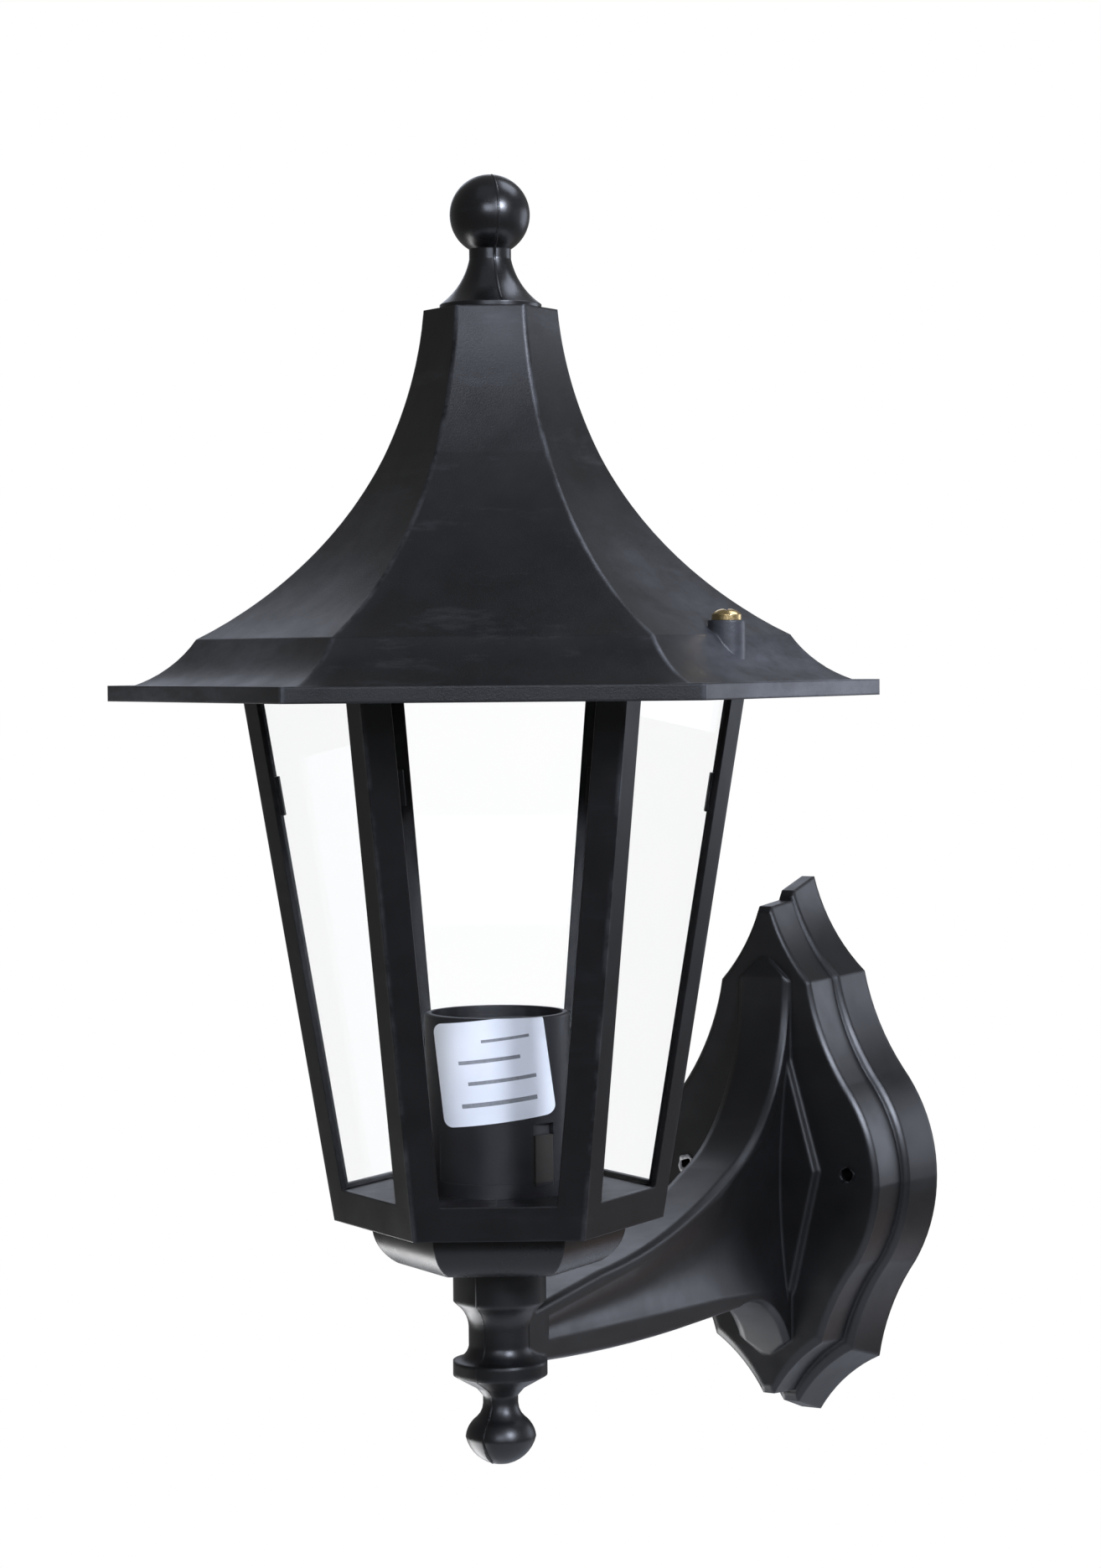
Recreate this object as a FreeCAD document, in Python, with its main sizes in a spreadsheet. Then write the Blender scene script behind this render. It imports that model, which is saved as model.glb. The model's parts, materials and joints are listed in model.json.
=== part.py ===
import FreeCAD, Part
import math
import os
import Sketcher

# Wall light: a hexagonal lantern that stands on a fluted arm with a shield wall plate.
# Millimetres, +Z up. Every piece is drawn round the lantern axis and its placement
# then moves it so that the origin lies between the wall screws on the wall.

SIZES = {
    # wall plate
    "wall_reach": 169.0,
    "plate_depth": 33.0,
    "plate_step_depth": 16.5,
    "plate_step_grow": 1.8,
    "plate_back_grow": 6.0,
    "plate_front_draft": 0.9,
    "plate_edge": 1.3,
    "plate_wall": 2.4,
    "plate_tip_half": 2.2,
    "plate_top_tip": 83.6,
    "plate_shoulder_x": 15.6,
    "plate_shoulder_z": 60.0,
    "plate_flare_x": 28.0,
    "plate_flare_z": 28.0,
    "plate_half_width": 38.8,
    "plate_belly_drop": 3.5,
    "plate_low_flare_x": 31.2,
    "plate_low_flare_z": 28.4,
    "plate_low_shoulder_x": 18.4,
    "plate_low_shoulder_z": 54.2,
    "plate_low_tip_half": 1.9,
    "plate_bottom_tip": 71.8,
    "plate_tip_curve": 62.0,
    "plate_neck_curve": 80.0,
    "plate_belly_curve": 55.0,
    "plate_low_belly_curve": 55.0,
    "plate_low_neck_curve": 77.0,
    "plate_foot_curve": 50.0,
    # wall screws
    "screw_spacing": 56.4,
    "screw_hole_radius": 2.2,
    "screw_pillar_radius": 5.0,
    # diamond pad on the plate
    "pad_thickness": 2.4,
    "pad_half_width": 19.2,
    "pad_middle_z": 0.5,
    "pad_top_half": 6.1,
    "pad_top_z": 45.6,
    "pad_bottom_half": 4.4,
    "pad_bottom_z": 51.6,
    "pad_low_x": 10.6,
    "pad_low_z": 36.5,
    # arm
    "arm_half_width": 8.8,
    "arm_top_z": 17.4,
    "arm_rise_start": 45.0,
    "arm_rise_start_z": 12.4,
    "arm_bend_back": 41.0,
    "arm_bend_z": 5.4,
    "arm_rise_curve": 252.0,
    "arm_sweep_curve": 56.0,
    "arm_crown_back": 1.6,
    "arm_crown_z": 61.5,
    "arm_tip_z": 68.0,
    "arm_gable_z": 59.4,
    "arm_bottom_z": 31.6,
    "arm_under_back": 77.0,
    "arm_under_z": 37.8,
    "arm_under_curve": 950.0,
    "arm_belly_back": 37.0,
    "arm_belly_z": 38.2,
    "arm_foot_z": 59.0,
    "arm_foot_curve": 32.0,
    "arm_foot_gable_z": 52.9,
    "arm_soft_edge": 2.0,
    "arm_hard_edge": 0.9,
    "flute_start": 12.0,
    "flute_start_z": 23.2,
    "flute_start_height": 6.3,
    "flute_start_depth": 0.9,
    "flute_middle": 66.0,
    "flute_middle_z": 22.0,
    "flute_middle_height": 15.0,
    "flute_middle_depth": 2.0,
    "flute_bend_back": 49.0,
    "flute_bend_z": 17.0,
    "flute_bend_height": 31.0,
    "flute_bend_depth": 2.8,
    "flute_sweep_back": 17.0,
    "flute_sweep_z": 11.0,
    "flute_sweep_height": 48.8,
    "flute_sweep_depth": 3.2,
    "flute_rise_back": 9.0,
    "flute_rise_z": 8.2,
    "flute_rise_height": 60.4,
    "flute_rise_depth": 3.2,
    "flute_end_z": 3.0,
    "flute_end_height": 78.0,
    "flute_end_depth": 2.8,
    # stem
    "collar_radius": 12.9,
    "collar_top": 3.8,
    "collar_bottom": 14.4,
    "collar_bevel": 0.9,
    "stem_neck_radius": 8.7,
    "stem_neck_top": 21.6,
    "stem_neck_bottom": 27.0,
    "stem_cove_curve": 8.0,
    "disc_radius": 13.1,
    "disc_top": 31.0,
    "disc_bottom": 35.0,
    "disc_cove_curve": 5.0,
    "disc_under_radius": 6.8,
    "disc_under": 38.6,
    "drop_neck_radius": 4.9,
    "drop_neck_top": 40.8,
    "drop_neck_bottom": 43.0,
    "knob_shoulder_radius": 6.8,
    "knob_shoulder": 47.0,
    "knob_radius": 9.8,
    "knob_middle": 52.2,
    "knob_bottom": 60.0,
    "knob_upper_curve": 7.5,
    "knob_throat_curve": 5.5,
    "wire_radius": 3.0,
    "wire_z": 25.5,
    # base cup
    "cup_radius": 30.4,
    "cup_foot_radius": 24.3,
    "cup_curve": 12.5,
    "cup_wall": 2.2,
    "cup_floor": 2.5,
    # lantern frame
    "frame_foot": 8.2,
    "frame_foot_radius": 45.5,
    "frame_top": 160.0,
    "frame_top_radius": 70.3,
    "frame_wall": 1.6,
    "frame_leg": 7.9,
    "frame_floor": 16.4,
    "frame_floor_thickness": 2.4,
    "window_sill_height": 1.2,
    "window_head": 6.0,
    "rib_thickness": 1.6,
    "rib_depth": 4.9,
    "clip_drop": 39.4,
    "clip_height": 10.6,
    "clip_width": 6.4,
    "clip_depth": 1.0,
    "lug_length": 76.4,
    "lug_width": 14.0,
    "lug_drop": 1.5,
    "lug_thickness": 3.0,
    # panes
    "pane_thickness": 1.5,
    "pane_edge": 4.0,
    "pane_drop": 3.0,
    # roof
    "roof_wall": 2.0,
    "roof_bell_height": 89.6,
    "roof_cap_radius": 16.1,
    "roof_crown_curve": 127.0,
    "roof_shoulder_height": 49.4,
    "roof_shoulder_radius": 26.0,
    "roof_bell_curve": 108.0,
    "roof_step_height": 12.4,
    "roof_step_width": 21.0,
    "roof_cove_curve": 30.3,
    "roof_ledge_drop": 3.5,
    "roof_ledge_width": 6.3,
    "roof_rim_radius": 92.0,
    "roof_rim_height": 4.3,
    "roof_ridge_round": 1.4,
    "boss_reach": 71.5,
    "boss_radius": 5.0,
    "boss_stand": 1.7,
    # roof screws
    "roof_screw_radius": 1.95,
    "roof_screw_head_radius": 4.0,
    "roof_screw_head": 3.0,
    "roof_screw_grip": 5.3,
    "roof_screw_slot": 0.9,
    # finial
    "finial_foot_radius": 14.0,
    "finial_band": 1.4,
    "finial_flare_radius": 13.1,
    "finial_flare": 2.1,
    "finial_flare_curve": 20.0,
    "finial_neck_radius": 5.76,
    "finial_neck": 13.8,
    "finial_ball_radius": 11.0,
    "finial_ball_middle": 25.95,
    "finial_screw_radius": 2.45,
    "finial_screw_depth": 11.0,
    "finial_screw_head_radius": 4.6,
    "finial_screw_head": 3.2,
    # lampholder
    "holder_radius": 20.0,
    "holder_wall": 1.8,
    "holder_base_height": 4.1,
    "holder_height": 45.2,
    "holder_rim_radius": 0.8,
    "insert_drop": 3.0,
    "insert_floor_height": 12.5,
    "shell_radius": 13.3,
    "shell_wall": 0.9,
    "shell_seat": 3.4,
    "shell_height": 21.6,
    "contact_radius": 4.2,
    "contact_height": 3.2,
    "latch_width": 6.2,
    "latch_height": 12.9,
    "latch_slot_room": 3.2,
    "latch_slot_width": 7.0,
    # sticker
    "label_width": 30.4,
    "label_height": 28.2,
    "label_corner": 2.5,
    "label_rise": 30.9,
    "label_thickness": 0.25,
    # threaded tube and nut
    "nipple_radius": 5.0,
    "nipple_bore": 3.5,
    "nipple_bottom": 13.0,
    "nipple_top": 20.2,
    "nut_radius": 8.6,
    "nut_height": 3.2,
    # terminal block
    "block_width": 24.0,
    "block_height": 16.0,
    "block_depth": 13.0,
    "block_middle": 30.0,
    "block_pitch": 11.0,
    "sleeve_radius": 2.2,
    "sleeve_bore": 1.5,
    "terminal_screw_radius": 1.6,
    "terminal_screw_inset": 4.2,
    # room between mating pieces
    "clearance": 0.05,
}

# Angles about the lantern axis, in degrees from +X.
LATCH_ANGLE = -21.0
LABEL_ANGLE = -64.0
LABEL_TILT = 7.0
ARM_SOFT_SLOPE = 25.0
ARM_HARD_SLOPE = 60.0
COS30 = math.cos(math.radians(30))
FACES = 6

# Rise of the roof's bell for each millimetre inward of its foot.
BELL_FOOT_SLOPE = 0.6

doc = FreeCAD.newDocument("WallLight")


# Sheet of sizes


class Size:
    """A number with the sheet expression that gives it."""

    def __init__(self, value, text):
        self.value = value
        self.text = text

    def joined(self, sign, other, value):
        return Size(value, "(" + self.text + " " + sign + " " + other.text + ")")

    def __add__(self, other):
        other = as_size(other)
        return self.joined("+", other, self.value + other.value)

    def __sub__(self, other):
        other = as_size(other)
        return self.joined("-", other, self.value - other.value)

    def __mul__(self, other):
        other = as_size(other)
        return self.joined("*", other, self.value * other.value)

    def __truediv__(self, other):
        other = as_size(other)
        return self.joined("/", other, self.value / other.value)

    def __neg__(self):
        return as_size(0) - self


def as_size(number):
    if isinstance(number, Size):
        return number
    return Size(float(number), "(%.9f)" % number)


def root(size):
    return Size(math.sqrt(size.value), "sqrt(" + size.text + ")")


# Levels and radii that follow from other sizes, so that neighbours move together.
FOLLOWING = {
    "window_sill": lambda: s.frame_floor + s.window_sill_height,
    "window_top": lambda: s.frame_top - s.window_head,
    "clip_bottom": lambda: s.frame_top - s.clip_drop,
    "pane_inside": lambda: s.frame_wall + s.pane_thickness + s.clearance,
    "clip_gap": lambda: (s.pane_inside + s.clip_width / 4) / COS30 + s.clearance * 3,
    "lug_top": lambda: s.frame_top - s.lug_drop,
    "pane_top": lambda: s.frame_top - s.pane_drop,
    "roof_ledge": lambda: s.frame_top - s.roof_ledge_drop,
    "roof_rim": lambda: s.roof_ledge - s.roof_rim_height,
    "roof_step": lambda: s.roof_ledge + s.roof_step_height,
    "roof_shoulder": lambda: s.roof_step + s.roof_shoulder_height,
    "roof_cap": lambda: s.roof_step + s.roof_bell_height,
    "roof_ledge_radius": lambda: s.roof_rim_radius - s.roof_ledge_width,
    "roof_step_radius": lambda: s.roof_rim_radius - s.roof_step_width,
    "boss_cover": lambda: s.roof_step_radius - s.boss_reach + s.roof_screw_head_radius,
    "boss_top": lambda: s.roof_step + s.boss_cover * BELL_FOOT_SLOPE + s.boss_stand,
    "roof_screw_end": lambda: s.lug_top - s.roof_screw_grip,
    "holder_base_top": lambda: s.frame_floor + s.holder_base_height,
    "holder_top": lambda: s.holder_base_top + s.holder_height,
    "insert_top": lambda: s.holder_top - s.insert_drop,
    "insert_floor": lambda: s.holder_base_top + s.insert_floor_height,
    "shell_bottom": lambda: s.insert_floor + s.shell_seat,
    "shell_top": lambda: s.shell_bottom + s.shell_height,
    "latch_top": lambda: s.holder_base_top + s.latch_height,
    "latch_slot_top": lambda: s.latch_top + s.latch_slot_room,
    "label_middle": lambda: s.holder_base_top + s.label_rise,
}


class Named:
    """Gives each named size by its name."""

    def __getattr__(self, name):
        if name in FOLLOWING:
            return FOLLOWING[name]()
        return Size(SIZES[name], "Sizes." + name)


s = Named()


def fill_sheet():
    sheet = doc.addObject("Spreadsheet::Sheet", "Sizes")
    for row, (name, value) in enumerate(SIZES.items(), start=1):
        sheet.set("A%d" % row, name)
        sheet.set("B%d" % row, str(value))
        sheet.setAlias("B%d" % row, name)
    doc.recompute()


# Sketches. A corner is (across, up), or (across, up, radius, side) where the way to the
# next corner is an arc with its centre on the left (side 1) or the right (side -1).


def arc_centre(start, end, radius, side):
    chord = end - start
    middle = (start + end) * 0.5
    left = FreeCAD.Vector(-chord.y, chord.x, 0).normalize()
    height = math.sqrt(max(radius ** 2 - (chord.Length / 2) ** 2, 0))
    return middle + left * (side * height)


def corner_point(corner):
    return FreeCAD.Vector(as_size(corner[0]).value, as_size(corner[1]).value, 0)


def add_edge(sketch, corner, following):
    """Adds a line or arc and says which of its ends is the start."""
    start = corner_point(corner)
    end = corner_point(following)
    if len(corner) == 2:
        return sketch.addGeometry(Part.LineSegment(start, end)), 1, 2
    radius = as_size(corner[2]).value
    centre = arc_centre(start, end, radius, corner[3])
    circle = Part.Circle(centre, FreeCAD.Vector(0, 0, 1), radius)
    first = math.atan2(start.y - centre.y, start.x - centre.x)
    last = math.atan2(end.y - centre.y, end.x - centre.x)
    if corner[3] > 0:
        return sketch.addGeometry(Part.ArcOfCircle(circle, first, last)), 1, 2
    return sketch.addGeometry(Part.ArcOfCircle(circle, last, first)), 2, 1


def bind(sketch, constraint, size):
    index = sketch.addConstraint(constraint)
    sketch.setExpression("Constraints[%d]" % index, as_size(size).text)


def draw_loop(sketch, corners):
    count = len(corners)
    edges = [add_edge(sketch, corners[i], corners[(i + 1) % count]) for i in range(count)]
    for i in range(count):
        edge, start, end = edges[i]
        following, next_start, _ = edges[(i + 1) % count]
        sketch.addConstraint(Sketcher.Constraint("Coincident", edge, end, following, next_start))
        point = corner_point(corners[i])
        bind(sketch, Sketcher.Constraint("DistanceX", -1, 1, edge, start, point.x), corners[i][0])
        bind(sketch, Sketcher.Constraint("DistanceY", -1, 1, edge, start, point.y), corners[i][1])
        if len(corners[i]) == 4:
            radius = as_size(corners[i][2])
            bind(sketch, Sketcher.Constraint("Radius", edge, radius.value), radius)


def upright_sketch(name, loops, turn=0.0, away=None):
    """A sketch that stands on edge: across runs at the angle turn, up runs along Z."""
    sketch = doc.addObject("Sketcher::SketchObject", name)
    about_z = FreeCAD.Rotation(FreeCAD.Vector(0, 0, 1), turn)
    about_x = FreeCAD.Rotation(FreeCAD.Vector(1, 0, 0), 90)
    sketch.Placement = FreeCAD.Placement(FreeCAD.Vector(0, 0, 0), about_z * about_x)
    if away is not None:
        sketch.setExpression("Placement.Base.y", away.text)
    for loop in loops:
        draw_loop(sketch, loop)
    return sketch


def flat_sketch(name, loops, height):
    sketch = doc.addObject("Sketcher::SketchObject", name)
    sketch.setExpression("Placement.Base.z", as_size(height).text)
    for loop in loops:
        draw_loop(sketch, loop)
    return sketch


def mirrored(loop):
    """The same loop on the other side of the axis."""
    flipped = []
    for i, corner in enumerate(loop):
        before = loop[i - 1]
        flipped.append((-as_size(corner[0]), corner[1]) + tuple(before[2:]))
    return flipped[::-1]


def closed_mirror(half):
    """Closes a right-hand half outline, given from the bottom up, with its mirror image."""
    left = []
    for i in range(len(half) - 1, -1, -1):
        corner = (-as_size(half[i][0]), half[i][1])
        if i > 0 and len(half[i - 1]) == 4:
            corner = corner + tuple(half[i - 1][2:])
        left.append(corner)
    return list(half) + left


def box_loop(left, bottom, right, top):
    return [(left, bottom), (right, bottom), (right, top), (left, top)]


def hexagon(radius):
    corners = []
    for k in range(FACES):
        angle = math.radians(30 + 60 * k)
        corners.append((as_size(radius) * math.cos(angle), as_size(radius) * math.sin(angle)))
    return corners


# Solids


def extrude(name, sketch, length, both_ways=True):
    solid = doc.addObject("Part::Extrusion", name)
    solid.Base = sketch
    solid.DirMode = "Normal"
    solid.Solid = True
    solid.Symmetric = both_ways
    solid.setExpression("LengthFwd", as_size(length).text)
    return solid


def prism(name, loops, length, turn=0.0, away=None):
    return extrude(name, upright_sketch(name + "_outline", loops, turn, away), length)


def loft(name, sketches, ruled=True):
    solid = doc.addObject("Part::Loft", name)
    solid.Sections = sketches
    solid.Solid = True
    solid.Ruled = ruled
    return solid


def hexagon_loft(name, lower_radius, lower, upper_radius, upper):
    first = flat_sketch(name + "_foot", [hexagon(lower_radius)], lower)
    second = flat_sketch(name + "_head", [hexagon(upper_radius)], upper)
    return loft(name, [first, second])


def cylinder(name, radius, bottom, top, x=0.0, y=0.0):
    rod = doc.addObject("Part::Cylinder", name)
    rod.setExpression("Radius", as_size(radius).text)
    rod.setExpression("Height", (as_size(top) - as_size(bottom)).text)
    rod.setExpression("Placement.Base.x", as_size(x).text)
    rod.setExpression("Placement.Base.y", as_size(y).text)
    rod.setExpression("Placement.Base.z", as_size(bottom).text)
    return rod


def wall_rod(name, radius, front, back, x, z):
    """A rod that runs towards the wall, along +Y."""
    rod = doc.addObject("Part::Cylinder", name)
    rod.Placement = FreeCAD.Placement(FreeCAD.Vector(), FreeCAD.Rotation(FreeCAD.Vector(1, 0, 0), -90))
    rod.setExpression("Radius", as_size(radius).text)
    rod.setExpression("Height", (as_size(back) - as_size(front)).text)
    rod.setExpression("Placement.Base.x", as_size(x).text)
    rod.setExpression("Placement.Base.y", as_size(front).text)
    rod.setExpression("Placement.Base.z", as_size(z).text)
    return rod


def fuse(name, shapes):
    union = doc.addObject("Part::MultiFuse", name)
    union.Shapes = shapes
    union.Refine = True
    return union


def common(name, shapes):
    overlap = doc.addObject("Part::MultiCommon", name)
    overlap.Shapes = shapes
    return overlap


def cut(name, base, tools):
    rest = doc.addObject("Part::Cut", name)
    rest.Base = base
    rest.Tool = tools[0] if len(tools) == 1 else fuse(name + "_tools", tools)
    return rest


def rounded(name, base, radius, wanted):
    """Rounds the edges that wanted picks."""
    doc.recompute()
    fillet = doc.addObject("Part::Fillet", name)
    fillet.Base = base
    chosen = []
    for index, edge in enumerate(base.Shape.Edges, start=1):
        if wanted(edge):
            chosen.append((index, radius.value, radius.value))
    fillet.Edges = chosen
    return fillet


def group(name, shapes):
    """Separate solids that share one node."""
    pieces = doc.addObject("Part::Compound", name)
    pieces.Links = shapes
    return pieces


def dome_curve(half_width, height):
    """Radius of an arc that crosses the axis square, so that it turns into a ball cap."""
    return (half_width * half_width + height * height) / (height * 2)


def turned(label, corners):
    """A body of revolution about Z."""
    body = doc.addObject("PartDesign::Body", label)
    plane = [f for f in body.Origin.OriginFeatures if f.Role == "XZ_Plane"][0]
    profile = body.newObject("Sketcher::SketchObject", label + "_profile")
    profile.AttachmentSupport = [(plane, "")]
    profile.MapMode = "FlatFace"
    doc.recompute()
    draw_loop(profile, corners)
    turn = body.newObject("PartDesign::Revolution", label + "_turn")
    turn.Profile = profile
    turn.ReferenceAxis = (profile, ["V_Axis"])
    turn.Angle = 360
    body.Tip = turn
    return body


# Bracket: plate, pad, arm and stem in one moulding


def plate_outline(grow):
    """Shield outline, enlarged by grow on the sides and more at its tips."""
    half = [
        (s.plate_low_tip_half + grow * 0.25, -s.plate_bottom_tip - grow * 1.77, s.plate_foot_curve, -1),
        (s.plate_low_shoulder_x + grow, -s.plate_low_shoulder_z - grow * 1.5, s.plate_low_neck_curve, -1),
        (s.plate_low_flare_x + grow, -s.plate_low_flare_z - grow * 0.5, s.plate_low_belly_curve, 1),
        (s.plate_half_width + grow, -s.plate_belly_drop, s.plate_belly_curve, 1),
        (s.plate_flare_x + grow * 0.9, s.plate_flare_z + grow * 0.4, s.plate_neck_curve, -1),
        (s.plate_shoulder_x + grow * 0.72, s.plate_shoulder_z + grow * 0.22, s.plate_tip_curve, -1),
        (s.plate_tip_half, s.plate_top_tip + grow * 1.3),
    ]
    return closed_mirror(half)


def plate_level(name, grow, from_front):
    return upright_sketch(name, [plate_outline(as_size(grow))], 0.0, s.wall_reach + from_front)


def bracket_shell():
    step = s.plate_step_depth
    front = loft("plate_front", [
        plate_level("plate_front_face", -s.plate_edge, as_size(0)),
        plate_level("plate_front_edge", as_size(0), s.plate_edge),
        plate_level("plate_front_root", s.plate_front_draft, step + 1),
    ])
    back = loft("plate_back", [
        plate_level("plate_step_face", s.plate_step_grow, step),
        plate_level("plate_step_edge", s.plate_step_grow + s.plate_edge, step + s.plate_edge),
        plate_level("plate_wall_face", s.plate_back_grow, s.plate_depth),
    ])
    hollow = loft("plate_hollow", [
        plate_level("plate_hollow_deep", -s.plate_wall - 0.8, s.plate_wall),
        plate_level("plate_hollow_mouth", s.plate_back_grow - s.plate_wall * 1.5, s.plate_depth),
    ])
    solid = fuse("bracket_solid", [front, back, diamond_pad(), arm(), stem()])
    return cut("bracket_shell", solid, [hollow])


def screw_pillars():
    front = s.wall_reach + 1
    back = s.wall_reach + s.plate_depth
    pillars = []
    for side, hand in ((-1, "left"), (1, "right")):
        x = s.screw_spacing * (side * 0.5)
        pillars.append(wall_rod("pillar_" + hand, s.screw_pillar_radius, front, back, x, 0))
    return pillars


def plate_holes():
    holes = []
    for side, hand in ((-1, "left"), (1, "right")):
        x = s.screw_spacing * (side * 0.5)
        front = s.wall_reach - 1
        back = s.wall_reach + s.plate_depth + 1
        holes.append(wall_rod("wall_hole_" + hand, s.screw_hole_radius, front, back, x, 0))
    return holes


def diamond_pad():
    half = [
        (s.pad_bottom_half, -s.pad_bottom_z),
        (s.pad_low_x, -s.pad_low_z),
        (s.pad_half_width, s.pad_middle_z),
        (s.pad_top_half, s.pad_top_z),
    ]
    bevel = s.pad_thickness * 0.6
    inner = [
        (s.pad_bottom_half, -s.pad_bottom_z + bevel),
        (s.pad_low_x - bevel, -s.pad_low_z),
        (s.pad_half_width - bevel, s.pad_middle_z),
        (s.pad_top_half, s.pad_top_z - bevel),
    ]
    return loft("pad", [
        upright_sketch("pad_foot", [closed_mirror(half)], 0.0, s.wall_reach + 0.5),
        upright_sketch("pad_face", [closed_mirror(inner)], 0.0, s.wall_reach - s.pad_thickness),
    ])


def arm_side():
    """Side outline of the arm, across running towards the wall and on into the plate's hollow."""
    root_y = s.wall_reach + s.arm_half_width
    return [
        (as_size(0), -s.arm_bottom_z, s.arm_under_curve, 1),
        (s.wall_reach - s.arm_under_back, -s.arm_under_z),
        (s.wall_reach - s.arm_belly_back, -s.arm_belly_z, s.arm_foot_curve, -1),
        (s.wall_reach, -s.arm_foot_z),
        (root_y, -s.arm_foot_z),
        (root_y, s.arm_tip_z),
        (s.wall_reach, s.arm_tip_z),
        (s.wall_reach - s.arm_crown_back, s.arm_crown_z, s.arm_sweep_curve, -1),
        (s.wall_reach - s.arm_bend_back, s.arm_bend_z, s.arm_rise_curve, -1),
        (s.arm_rise_start, -s.arm_rise_start_z),
        (as_size(0), -s.arm_top_z),
    ]


def arm_front():
    """Front outline that gives the arm's root its pointed top and foot."""
    wide = s.arm_half_width + 1
    half = [
        (s.plate_tip_half * 0.2, -s.arm_foot_z - 0.5),
        (wide, -s.arm_foot_gable_z),
        (wide, s.arm_gable_z),
        (s.plate_tip_half * 0.2, s.arm_tip_z + 0.5),
    ]
    return closed_mirror(half)


def flute_section(name, side, y, middle, height, depth):
    """Bow-shaped cross-section of the groove along the arm's flank."""
    half = height / 2
    surface = s.arm_half_width * side
    bow = (half * half + depth * depth) / (depth * 2)
    outside = (s.arm_half_width + depth + 3) * side
    low = middle - half
    high = middle + half
    if side > 0:
        loop = [(surface, high, bow, 1), (surface, low), (outside, low), (outside, high)]
    else:
        loop = [(surface, low, bow, 1), (surface, high), (outside, high), (outside, low)]
    return upright_sketch(name, [loop], 0.0, as_size(y))


def flute(side, hand):
    bend = s.wall_reach - s.flute_bend_back
    sweep = s.wall_reach - s.flute_sweep_back
    rise = s.wall_reach - s.flute_rise_back
    end = s.wall_reach - s.pad_thickness
    rows = [
        (s.flute_start, s.flute_start_z, s.flute_start_height, s.flute_start_depth),
        (s.flute_middle, s.flute_middle_z, s.flute_middle_height, s.flute_middle_depth),
        (bend, s.flute_bend_z, s.flute_bend_height, s.flute_bend_depth),
        (sweep, s.flute_sweep_z, s.flute_sweep_height, s.flute_sweep_depth),
        (rise, s.flute_rise_z, s.flute_rise_height, s.flute_rise_depth),
        (end, s.flute_end_z, s.flute_end_height, s.flute_end_depth),
    ]
    sections = []
    for k, (y, drop, height, depth) in enumerate(rows, start=1):
        sections.append(flute_section("flute_%s_%d" % (hand, k), side, y, -drop, height, depth))
    return loft("flute_" + hand, sections)


def bevelled_bar(name, start, slope):
    """The side outline as a bar whose long edges slope off from the half-width start."""
    core = prism(name + "_core", [arm_side()], start * 2, 90.0)
    pieces = [core]
    for side, hand in ((1, "right"), (-1, "left")):
        sketch = upright_sketch(name + "_" + hand + "_outline", [arm_side()], 90.0)
        sketch.setExpression("Placement.Base.x", (start * side).text)
        edge = extrude(name + "_" + hand, sketch, s.arm_half_width - start, False)
        edge.Reversed = side < 0
        edge.TaperAngle = -slope
        pieces.append(edge)
    return fuse(name, pieces)


def arm():
    soft = bevelled_bar("arm_soft", s.arm_half_width - s.arm_soft_edge, ARM_SOFT_SLOPE)
    hard = bevelled_bar("arm_hard", s.arm_half_width - s.arm_hard_edge, ARM_HARD_SLOPE)
    front = extrude("arm_front", upright_sketch("arm_front_outline", [arm_front()]), s.wall_reach * 3)
    bar = common("arm_bar", [soft, hard, front])
    return cut("arm", bar, [flute(1, "right"), flute(-1, "left")])


def stem():
    return turned("stem", [
        (as_size(0), -s.knob_bottom, dome_curve(s.knob_radius, s.knob_bottom - s.knob_middle), 1),
        (s.knob_radius, -s.knob_middle, s.knob_upper_curve, 1),
        (s.knob_shoulder_radius, -s.knob_shoulder, s.knob_throat_curve, -1),
        (s.drop_neck_radius, -s.drop_neck_bottom),
        (s.drop_neck_radius, -s.drop_neck_top),
        (s.disc_under_radius, -s.disc_under),
        (s.disc_radius, -s.disc_bottom),
        (s.disc_radius, -s.disc_top, s.disc_cove_curve, -1),
        (s.stem_neck_radius, -s.stem_neck_bottom),
        (s.stem_neck_radius, -s.stem_neck_top, s.stem_cove_curve, -1),
        (s.collar_radius - s.collar_bevel, -s.collar_bottom - s.collar_bevel),
        (s.collar_radius, -s.collar_bottom),
        (s.collar_radius, -s.collar_top),
        (as_size(0), -s.collar_top),
    ])


def make_bracket():
    solid = fuse("bracket_whole", [bracket_shell()] + screw_pillars())
    bores = plate_holes()
    bores.append(cylinder("nipple_seat", s.nipple_radius + s.clearance, -s.nipple_bottom, 0))
    bores.append(cylinder("wire_well", s.wire_radius, -s.wire_z, -s.collar_top))
    hollow = s.wall_reach + s.plate_wall + 1
    bores.append(wall_rod("wire_way", s.wire_radius, as_size(0), hollow, 0, -s.wire_z))
    return cut("bracket", solid, bores)


# Base cup


def cup_half(inset, floor, top):
    return [
        (s.cup_foot_radius - inset * 0.7, floor, s.cup_curve - inset, 1),
        (s.cup_radius - inset, s.frame_foot),
        (s.cup_radius - inset, top),
    ]


def hexagonal(name, loop, length):
    """The part shared by three prisms of one outline, each turned by a sixth of a turn."""
    return common(name, [prism("%s_%d" % (name, k), [loop], length, 60.0 * k) for k in range(3)])


def make_base_cup():
    top = s.frame_floor - s.frame_floor_thickness
    length = s.cup_radius * 3
    outer = hexagonal("cup_outer", closed_mirror(cup_half(as_size(0), -s.collar_top, top)), length)
    inner_loop = closed_mirror(cup_half(s.cup_wall, s.cup_floor - s.collar_top, top + 1))
    inner = hexagonal("cup_inner", inner_loop, length)
    hole = cylinder("cup_hole", s.nipple_radius + s.clearance, -s.collar_top - 1, s.cup_floor)
    return cut("base_cup", outer, [inner, hole])


# Lantern frame and panes


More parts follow.
